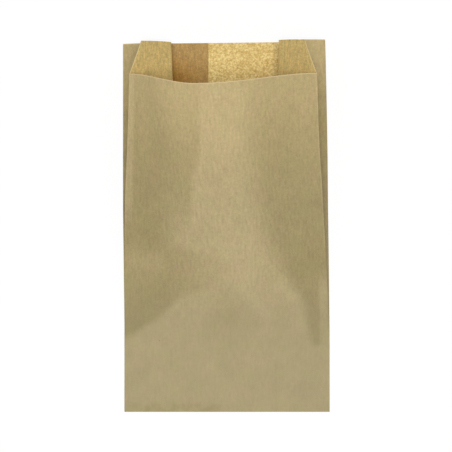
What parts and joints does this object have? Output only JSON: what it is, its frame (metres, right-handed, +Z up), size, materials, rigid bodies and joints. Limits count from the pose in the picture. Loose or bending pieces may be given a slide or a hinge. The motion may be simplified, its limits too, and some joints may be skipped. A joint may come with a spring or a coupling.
{
  "type": "paper lunch bag",
  "caption": "Flat kraft paper lunch bag with folded-in sides and a folded, glued bottom, lying on its back with its mouth held open by its own folds.",
  "frame": {"origin": "on the floor under the middle of the bag's outline, with the bag on its back panel", "axes": "+Y from the bottom fold to the mouth, +X to the right seen from above the front panel, +Z up from the back panel"},
  "size_m": [0.151, 0.2704, 0.072],
  "materials": {
    "kraft_paper": "uncoated, matt, with fine fibres"
  },
  "bodies": {
    "root": {"paper_bag": "kraft_paper"}
  },
  "joints": []
}
